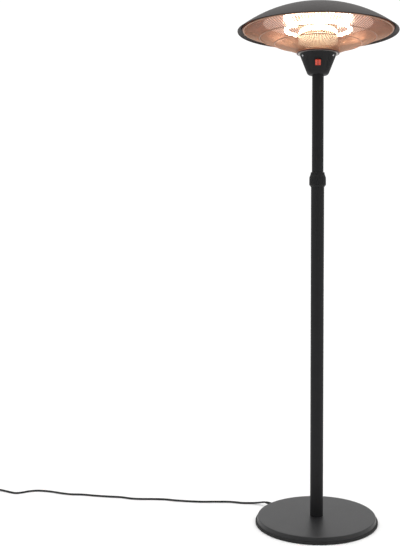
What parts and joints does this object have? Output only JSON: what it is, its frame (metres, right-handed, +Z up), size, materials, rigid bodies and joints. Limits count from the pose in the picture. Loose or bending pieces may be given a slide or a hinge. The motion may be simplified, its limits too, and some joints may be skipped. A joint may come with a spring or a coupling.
{
  "type": "patio heater",
  "caption": "Free-standing electric patio heater: weighted round base, telescopic pole with twist collar, domed shade, ring lamp behind a radial wire guard, twin rocker switch and mains cord.",
  "frame": {"origin": "on the floor under the pole, at the centre of the round base", "axes": "+Z up the pole, -Y towards the side with the switch, +X to the right seen from the switch side"},
  "size_m": [1.7635, 0.5913, 1.935],
  "materials": {
    "powder_grey": "fine textured dark grey powder coat",
    "tube_paint": "satin black-grey powder coat",
    "shade_paint": "satin dark grey heat-proof paint",
    "rubber_black": "matt moulded rubber",
    "cord_rubber": "matt rubber cord sheath",
    "strap_fabric": "woven hook-and-loop strap",
    "cast_iron": "rough black casting",
    "plated_steel": "zinc plated",
    "bright_steel": "brushed bright",
    "plated_brass": "nickel plated",
    "black_plastic": "fine spark-eroded texture",
    "white_plastic": "smooth nylon",
    "copper_steel": "dark copper heat-proof paint",
    "polished_copper": "polished warm metal",
    "bright_aluminium": "mill bright sheet",
    "copper_reflector": "copper anodised, semi bright",
    "lamp_quartz": "clear quartz",
    "filament": "carbon filament",
    "ceramic": "glazed steatite ceramic",
    "white_sleeve": "glass-fibre sleeve",
    "copper_wire": "copper heat-proof lacquer on steel wire",
    "red_rocker": "translucent red"
  },
  "bodies": {
    "stand": {"base_cover": "powder_grey", "base_edge_ring": "rubber_black", "base_weight": "cast_iron", "base_plate": "plated_steel", "pole_socket": "plated_steel", "base_bolts": "plated_steel", "lower_tube": "tube_paint", "socket_screws": "plated_steel", "clamp_bush": "black_plastic", "cord_gland": "rubber_black", "cord_lead": "cord_rubber", "cord_coil": "cord_rubber", "cord_tail": "cord_rubber", "cord_tie": "strap_fabric", "plug_body": "rubber_black", "plug_pins": "plated_brass", "inner_lead_lower": "cord_rubber"},
    "collar": {"clamp_collar": "black_plastic"},
    "sleeve": {"clamp_sleeve": "black_plastic"},
    "rocker_left": {"rocker_left": "red_rocker"},
    "rocker_right": {"rocker_right": "red_rocker"},
    "head": {"upper_tube": "tube_paint", "guide_bush": "white_plastic", "tube_adapter": "plated_steel", "housing": "black_plastic", "housing_trim": "bright_steel", "housing_screws": "plated_steel", "flange_plate": "copper_steel", "column_shell": "polished_copper", "column_neck": "polished_copper", "centre_rod": "plated_steel", "rod_nuts": "plated_steel", "rod_spacers": "plated_steel", "heat_shield": "bright_aluminium", "reflector": "copper_reflector", "shade": "shade_paint", "shade_brackets": "plated_steel", "top_cap": "black_plastic", "lamp_tube": "lamp_quartz", "lamp_filament": "filament", "lamp_end_caps": "ceramic", "lamp_clips": "plated_steel", "lamp_leads": "white_sleeve", "guard_wires": "copper_wire", "guard_outer_ring": "copper_wire", "guard_upper_hoop": "copper_wire", "guard_lower_hoop": "copper_wire", "guard_inner_ring": "copper_wire", "guard_hooks": "copper_wire", "switch_frame": "black_plastic", "terminal_block": "ceramic", "inner_lead_upper": "cord_rubber"}
  },
  "joints": [
    {"name": "collar_twist", "type": "hinge", "parent": "stand", "child": "collar", "pos_m": [0, 0, 1.29], "axis": [0, 0, 1], "range_deg": [0, 180]},
    {"name": "head_swivel", "type": "hinge", "parent": "stand", "child": "sleeve", "pos_m": [0, 0, 1.29], "axis": [0, 0, 1], "range_deg": [-90, 90]},
    {"name": "pole_slide", "type": "slide", "parent": "sleeve", "child": "head", "axis": [0, 0, 1], "range_m": [-0.3, 0.18]},
    {"name": "rocker_left_tilt", "type": "hinge", "parent": "head", "child": "rocker_left", "pos_m": [0, -0.04732, 1.71124], "axis": [-1, 0, 0], "range_deg": [0, 16]},
    {"name": "rocker_right_tilt", "type": "hinge", "parent": "head", "child": "rocker_right", "pos_m": [0, -0.04732, 1.71124], "axis": [-1, 0, 0], "range_deg": [0, 16]}
  ]
}
